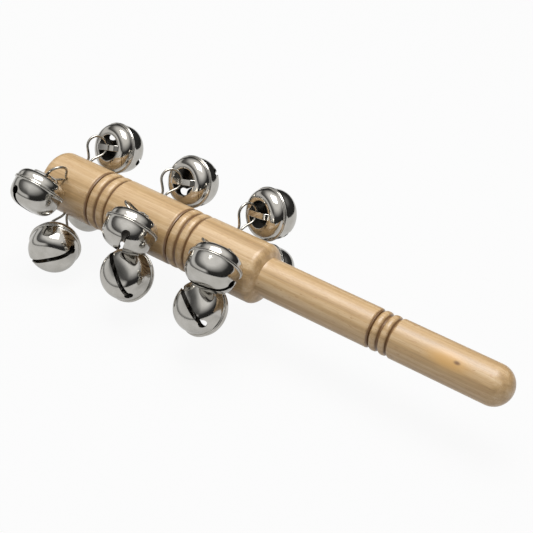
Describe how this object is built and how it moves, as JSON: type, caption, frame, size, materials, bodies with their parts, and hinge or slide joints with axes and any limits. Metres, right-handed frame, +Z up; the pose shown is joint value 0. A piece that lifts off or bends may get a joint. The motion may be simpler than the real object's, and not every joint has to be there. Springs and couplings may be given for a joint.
{
  "type": "jingle stick",
  "caption": "Hand-held jingle stick: a turned wooden stick whose thick barrel carries rows of round slotted bells on wire eyes.",
  "frame": {"origin": "centre of the stick's flat head end", "axes": "+X along the stick towards the tip of its handle, +Z up as the stick lies on its lower bells"},
  "size_m": [0.2499, 0.0765, 0.0596],
  "materials": {
    "beech": "satin",
    "nickel_wire": "polished",
    "nickel_crown": "polished",
    "nickel_bowl": "polished",
    "steel_pellet": "plain"
  },
  "bodies": {
    "stick": {"stick": "beech", "wire_eye_upper_back_head": "nickel_wire", "wire_eye_upper_back_middle": "nickel_wire", "wire_eye_upper_back_neck": "nickel_wire", "wire_eye_upper_front_head": "nickel_wire", "wire_eye_upper_front_middle": "nickel_wire", "wire_eye_upper_front_neck": "nickel_wire", "wire_eye_lower_front_head": "nickel_wire", "wire_eye_lower_front_middle": "nickel_wire", "wire_eye_lower_front_neck": "nickel_wire", "wire_eye_lower_back_head": "nickel_wire", "wire_eye_lower_back_middle": "nickel_wire", "wire_eye_lower_back_neck": "nickel_wire"},
    "bell_upper_back_head": {"crown_shell_upper_back_head": "nickel_crown", "bowl_shell_upper_back_head": "nickel_bowl"},
    "pellet_body_upper_back_head": {"pellet_upper_back_head": "steel_pellet"},
    "bell_upper_back_middle": {"crown_shell_upper_back_middle": "nickel_crown", "bowl_shell_upper_back_middle": "nickel_bowl"},
    "pellet_body_upper_back_middle": {"pellet_upper_back_middle": "steel_pellet"},
    "bell_upper_back_neck": {"crown_shell_upper_back_neck": "nickel_crown", "bowl_shell_upper_back_neck": "nickel_bowl"},
    "pellet_body_upper_back_neck": {"pellet_upper_back_neck": "steel_pellet"},
    "bell_upper_front_head": {"crown_shell_upper_front_head": "nickel_crown", "bowl_shell_upper_front_head": "nickel_bowl"},
    "pellet_body_upper_front_head": {"pellet_upper_front_head": "steel_pellet"},
    "bell_upper_front_middle": {"crown_shell_upper_front_middle": "nickel_crown", "bowl_shell_upper_front_middle": "nickel_bowl"},
    "pellet_body_upper_front_middle": {"pellet_upper_front_middle": "steel_pellet"},
    "bell_upper_front_neck": {"crown_shell_upper_front_neck": "nickel_crown", "bowl_shell_upper_front_neck": "nickel_bowl"},
    "pellet_body_upper_front_neck": {"pellet_upper_front_neck": "steel_pellet"},
    "bell_lower_front_head": {"crown_shell_lower_front_head": "nickel_crown", "bowl_shell_lower_front_head": "nickel_bowl"},
    "pellet_body_lower_front_head": {"pellet_lower_front_head": "steel_pellet"},
    "bell_lower_front_middle": {"crown_shell_lower_front_middle": "nickel_crown", "bowl_shell_lower_front_middle": "nickel_bowl"},
    "pellet_body_lower_front_middle": {"pellet_lower_front_middle": "steel_pellet"},
    "bell_lower_front_neck": {"crown_shell_lower_front_neck": "nickel_crown", "bowl_shell_lower_front_neck": "nickel_bowl"},
    "pellet_body_lower_front_neck": {"pellet_lower_front_neck": "steel_pellet"},
    "bell_lower_back_head": {"crown_shell_lower_back_head": "nickel_crown", "bowl_shell_lower_back_head": "nickel_bowl"},
    "pellet_body_lower_back_head": {"pellet_lower_back_head": "steel_pellet"},
    "bell_lower_back_middle": {"crown_shell_lower_back_middle": "nickel_crown", "bowl_shell_lower_back_middle": "nickel_bowl"},
    "pellet_body_lower_back_middle": {"pellet_lower_back_middle": "steel_pellet"},
    "bell_lower_back_neck": {"crown_shell_lower_back_neck": "nickel_crown", "bowl_shell_lower_back_neck": "nickel_bowl"},
    "pellet_body_lower_back_neck": {"pellet_lower_back_neck": "steel_pellet"}
  },
  "joints": [
    {"name": "swing_upper_back_head", "type": "hinge", "parent": "stick", "child": "bell_upper_back_head", "pos_m": [0.01497, 0.01931, 0.0143], "axis": [0.2306, -0.4469, -0.8644], "range_deg": [-25, 45]},
    {"name": "pellet_roll_upper_back_head", "type": "hinge", "parent": "bell_upper_back_head", "child": "pellet_body_upper_back_head", "pos_m": [0.0162, 0.0245, 0.01199], "axis": [-0.1632, -0.8962, 0.4125], "continuous": true},
    {"name": "swing_upper_back_middle", "type": "hinge", "parent": "stick", "child": "bell_upper_back_middle", "pos_m": [0.06139, 0.01876, 0.01429], "axis": [0.2138, -0.5352, -0.8172], "range_deg": [-25, 45]},
    {"name": "pellet_roll_upper_back_middle", "type": "hinge", "parent": "bell_upper_back_middle", "child": "pellet_body_upper_back_middle", "pos_m": [0.06262, 0.02405, 0.01219], "axis": [-0.129, -0.9141, 0.3844], "continuous": true},
    {"name": "swing_upper_back_neck", "type": "hinge", "parent": "stick", "child": "bell_upper_back_neck", "pos_m": [0.10357, 0.01976, 0.01408], "axis": [-0.1719, 0.3853, 0.9066], "range_deg": [-25, 45]},
    {"name": "pellet_roll_upper_back_neck", "type": "hinge", "parent": "bell_upper_back_neck", "child": "pellet_body_upper_back_neck", "pos_m": [0.1062, 0.02481, 0.01266], "axis": [-0.3074, -0.9072, 0.2872], "continuous": true},
    {"name": "swing_upper_front_head", "type": "hinge", "parent": "stick", "child": "bell_upper_front_head", "pos_m": [0.01236, -0.01913, 0.0138], "axis": [-0.162, 0.522, -0.8374], "range_deg": [-15, 30]},
    {"name": "pellet_roll_upper_front_head", "type": "hinge", "parent": "bell_upper_front_head", "child": "pellet_body_upper_front_head", "pos_m": [0.01157, -0.0236, 0.01009], "axis": [0, 0.7547, 0.6561], "continuous": true},
    {"name": "swing_upper_front_middle", "type": "hinge", "parent": "stick", "child": "bell_upper_front_middle", "pos_m": [0.06478, -0.01841, 0.01585], "axis": [-0.4255, -0.484, 0.7646], "range_deg": [-2, 45]},
    {"name": "pellet_roll_upper_front_middle", "type": "hinge", "parent": "bell_upper_front_middle", "child": "pellet_body_upper_front_middle", "pos_m": [0.06709, -0.02341, 0.01314], "axis": [-0.0863, 0.796, 0.5992], "continuous": true},
    {"name": "swing_upper_front_neck", "type": "hinge", "parent": "stick", "child": "bell_upper_front_neck", "pos_m": [0.10878, -0.01793, 0.01601], "axis": [-0.4019, -0.5485, 0.7332], "range_deg": [0, 45]},
    {"name": "pellet_roll_upper_front_neck", "type": "hinge", "parent": "bell_upper_front_neck", "child": "pellet_body_upper_front_neck", "pos_m": [0.113, -0.02326, 0.01464], "axis": [-0.135, 0.8505, 0.5084], "continuous": true},
    {"name": "swing_lower_front_head", "type": "hinge", "parent": "stick", "child": "bell_lower_front_head", "pos_m": [0.01746, -0.01793, -0.01852], "axis": [0.7803, 0.5129, 0.3578], "range_deg": [-25, 45]},
    {"name": "pellet_roll_lower_front_head", "type": "hinge", "parent": "bell_lower_front_head", "child": "pellet_body_lower_front_head", "pos_m": [0.01985, -0.02329, -0.01805], "axis": [-0.4603, 0.8841, 0.0803], "continuous": true},
    {"name": "swing_lower_front_middle", "type": "hinge", "parent": "stick", "child": "bell_lower_front_middle", "pos_m": [0.06397, -0.01868, -0.0158], "axis": [0.4373, 0.441, 0.7838], "range_deg": [-2, 45]},
    {"name": "pellet_roll_lower_front_middle", "type": "hinge", "parent": "bell_lower_front_middle", "child": "pellet_body_lower_front_middle", "pos_m": [0.06613, -0.02403, -0.01333], "axis": [0, 0.8192, -0.5736], "continuous": true},
    {"name": "swing_lower_front_neck", "type": "hinge", "parent": "stick", "child": "bell_lower_front_neck", "pos_m": [0.10716, -0.01909, -0.01463], "axis": [0.2763, 0.4555, 0.8463], "range_deg": [0, 45]},
    {"name": "pellet_roll_lower_front_neck", "type": "hinge", "parent": "bell_lower_front_neck", "child": "pellet_body_lower_front_neck", "pos_m": [0.10876, -0.02463, -0.01117], "axis": [0.2585, 0.7191, -0.6451], "continuous": true},
    {"name": "swing_lower_back_head", "type": "hinge", "parent": "stick", "child": "bell_lower_back_head", "pos_m": [0.01007, 0.01831, -0.01606], "axis": [0.4495, 0.49, -0.7469], "range_deg": [-9, 45]},
    {"name": "pellet_roll_lower_back_head", "type": "hinge", "parent": "bell_lower_back_head", "child": "pellet_body_lower_back_head", "pos_m": [0.00731, 0.01555, -0.02064], "axis": [0.6288, 0.2519, 0.7356], "continuous": true},
    {"name": "swing_lower_back_middle", "type": "hinge", "parent": "stick", "child": "bell_lower_back_middle", "pos_m": [0.06125, 0.01906, -0.01851], "axis": [-0.9187, 0.0445, -0.3926], "range_deg": [-25, 45]},
    {"name": "pellet_roll_lower_back_middle", "type": "hinge", "parent": "bell_lower_back_middle", "child": "pellet_body_lower_back_middle", "pos_m": [0.06164, 0.02566, -0.01886], "axis": [-0.2376, -0.8384, 0.4905], "continuous": true},
    {"name": "swing_lower_back_neck", "type": "hinge", "parent": "stick", "child": "bell_lower_back_neck", "pos_m": [0.10596, 0.01896, -0.0179], "axis": [-0.811, 0.1994, -0.55], "range_deg": [-25, 45]},
    {"name": "pellet_roll_lower_back_neck", "type": "hinge", "parent": "bell_lower_back_neck", "child": "pellet_body_lower_back_neck", "pos_m": [0.10766, 0.02546, -0.01809], "axis": [-0.4841, -0.7521, 0.4473], "continuous": true}
  ]
}
